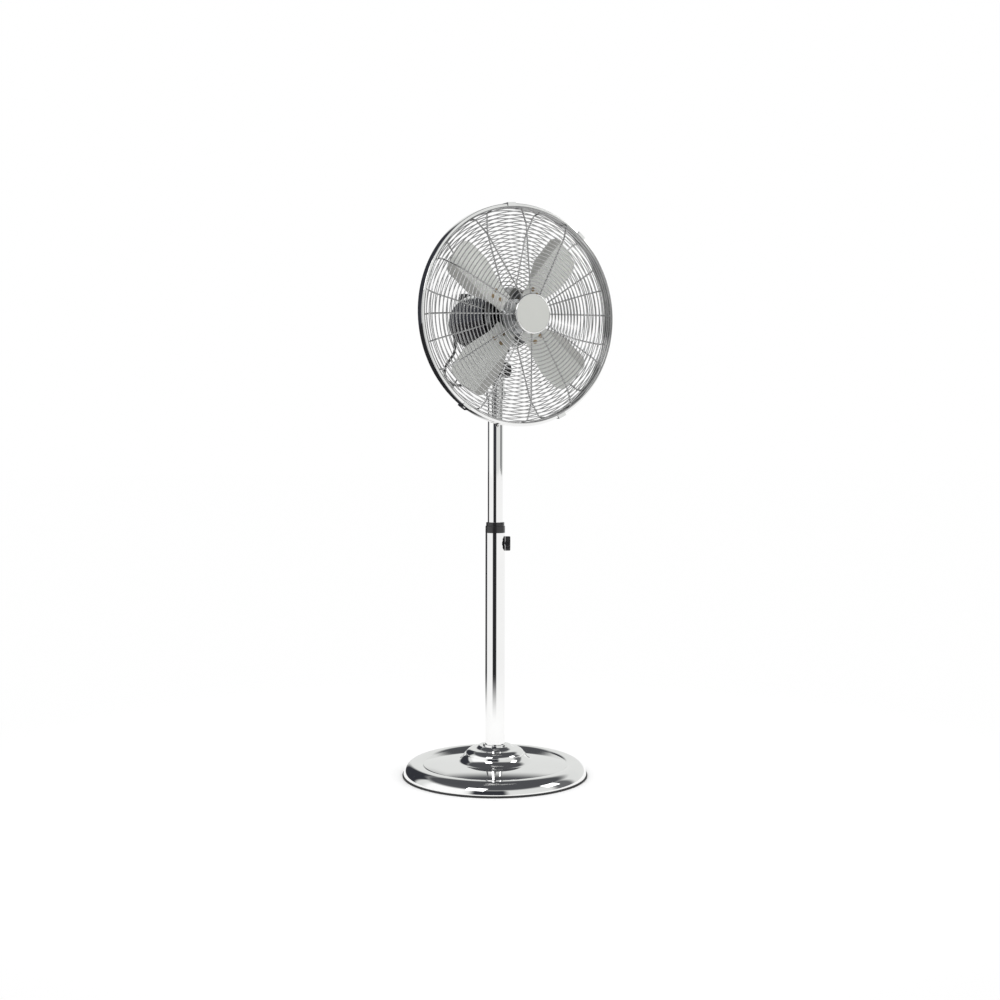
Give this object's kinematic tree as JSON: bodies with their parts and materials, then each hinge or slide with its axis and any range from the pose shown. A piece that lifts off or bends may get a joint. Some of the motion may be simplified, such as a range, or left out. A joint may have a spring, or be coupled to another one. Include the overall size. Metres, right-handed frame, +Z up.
{
  "type": "pedestal fan",
  "caption": "Chrome pedestal fan with round weighted base, telescopic column, tilting and swinging wire-guarded head",
  "frame": {"origin": "centre of the base on the floor, under the column", "axes": "+Z up, the fan blows towards -Y, +X to the fan's left"},
  "size_m": [0.4399, 0.383, 1.1628],
  "materials": {
    "chrome": "mirror chrome plating on pressed and drawn steel",
    "satin_silver": "satin silver lacquer on pressed sheet",
    "steel_zinc": "zinc plated steel",
    "cast_iron": "painted cast iron",
    "cast_dark": "black painted die casting",
    "stator_iron": "laminated electrical steel",
    "copper": "enamelled copper wire",
    "bronze": "sintered bronze and brass",
    "plastic_black": "black moulded plastic",
    "rubber_black": "black rubber",
    "cord_black": "black cord sheath"
  },
  "bodies": {
    "stand": {"base_edge_strip": "rubber_black", "base_cover": "chrome", "base_weight": "cast_iron", "base_carrier_ring": "steel_zinc", "column_flange": "steel_zinc", "flange_screws": "steel_zinc", "column_bell": "chrome", "bell_seal_ring": "plastic_black", "lower_tube": "chrome", "height_collar": "plastic_black", "lock_insert": "steel_zinc"},
    "height_lock": {"height_knob": "plastic_black"},
    "mast": {"upper_tube": "chrome", "tube_guide": "plastic_black", "column_clevis": "chrome", "clevis_screws": "steel_zinc", "tilt_bolt": "steel_zinc", "tilt_washers": "steel_zinc"},
    "tilt_lock": {"tilt_knob": "plastic_black"},
    "neck": {"neck_block": "cast_dark", "neck_bush": "bronze", "neck_grommet": "plastic_black", "thrust_washer": "rubber_black"},
    "head": {"motor_saddle": "cast_dark", "pan_spindle": "steel_zinc", "saddle_screws": "steel_zinc", "shell_strap": "steel_zinc", "motor_shell": "chrome", "motor_front_bracket": "cast_dark", "motor_back_bracket": "cast_dark", "motor_tie_screws": "steel_zinc", "stator_stack": "stator_iron", "stator_windings": "copper", "shaft_bearings": "bronze", "lead_gland": "plastic_black", "speed_switch": "plastic_black", "capacitor": "plastic_black", "gearbox": "plastic_black", "gearbox_lid": "plastic_black", "rim_band": "chrome", "rim_clips": "chrome", "front_grille": "chrome", "back_grille": "chrome", "hub_cap": "chrome", "hub_disc": "satin_silver", "grille_nut": "plastic_black", "motor_lead": "cord_black"},
    "rotor": {"rotor_core": "stator_iron", "motor_shaft": "steel_zinc", "worm": "bronze", "rotor_hub": "satin_silver", "blade_1": "satin_silver", "blade_2": "satin_silver", "blade_3": "satin_silver", "blade_4": "satin_silver", "blade_rivets": "bronze", "rotor_nut": "satin_silver"},
    "gear": {"worm_wheel": "plastic_black"},
    "clutch": {"clutch_knob": "plastic_black"},
    "speed_dial": {"speed_knob": "plastic_black"}
  },
  "joints": [
    {"name": "column_slide", "type": "slide", "parent": "stand", "child": "mast", "axis": [0, 0, 1], "range_m": [-0.15, 0.09]},
    {"name": "height_lock_turn", "type": "hinge", "parent": "stand", "child": "height_lock", "pos_m": [0, 0, 0.481], "axis": [0.8652, -0.5015, 0], "range_deg": [-90, 90]},
    {"name": "head_tilt", "type": "hinge", "parent": "mast", "child": "neck", "pos_m": [0, 0, 0.838], "axis": [-1, 0, 0], "range_deg": [-12, 25]},
    {"name": "tilt_lock_turn", "type": "hinge", "parent": "mast", "child": "tilt_lock", "pos_m": [0, 0, 0.838], "axis": [1, 0, 0], "range_deg": [-90, 90]},
    {"name": "head_swing", "type": "hinge", "parent": "neck", "child": "head", "pos_m": [0, 0, 0.86], "axis": [0, 0, 1], "range_deg": [-42, 42], "deforming": ["motor_lead"]},
    {"name": "rotor_spin", "type": "hinge", "parent": "head", "child": "rotor", "pos_m": [0, 0, 0.9405], "axis": [0, 1, 0], "continuous": true},
    {"name": "gear_turn", "type": "hinge", "parent": "head", "child": "gear", "pos_m": [0.0178, 0.064, 0.9405], "axis": [0, 0, 1], "continuous": true},
    {"name": "clutch_slide", "type": "slide", "parent": "head", "child": "clutch", "axis": [0, 0, 1], "range_m": [0, 0.006]},
    {"name": "speed_turn", "type": "hinge", "parent": "head", "child": "speed_dial", "pos_m": [0, 0.15, 0.9405], "axis": [0, 1, 0], "range_deg": [0, 135]}
  ],
  "couplings": [
    {"joint": "gear_turn", "follows": "rotor_spin", "ratio": 0.035714}
  ]
}
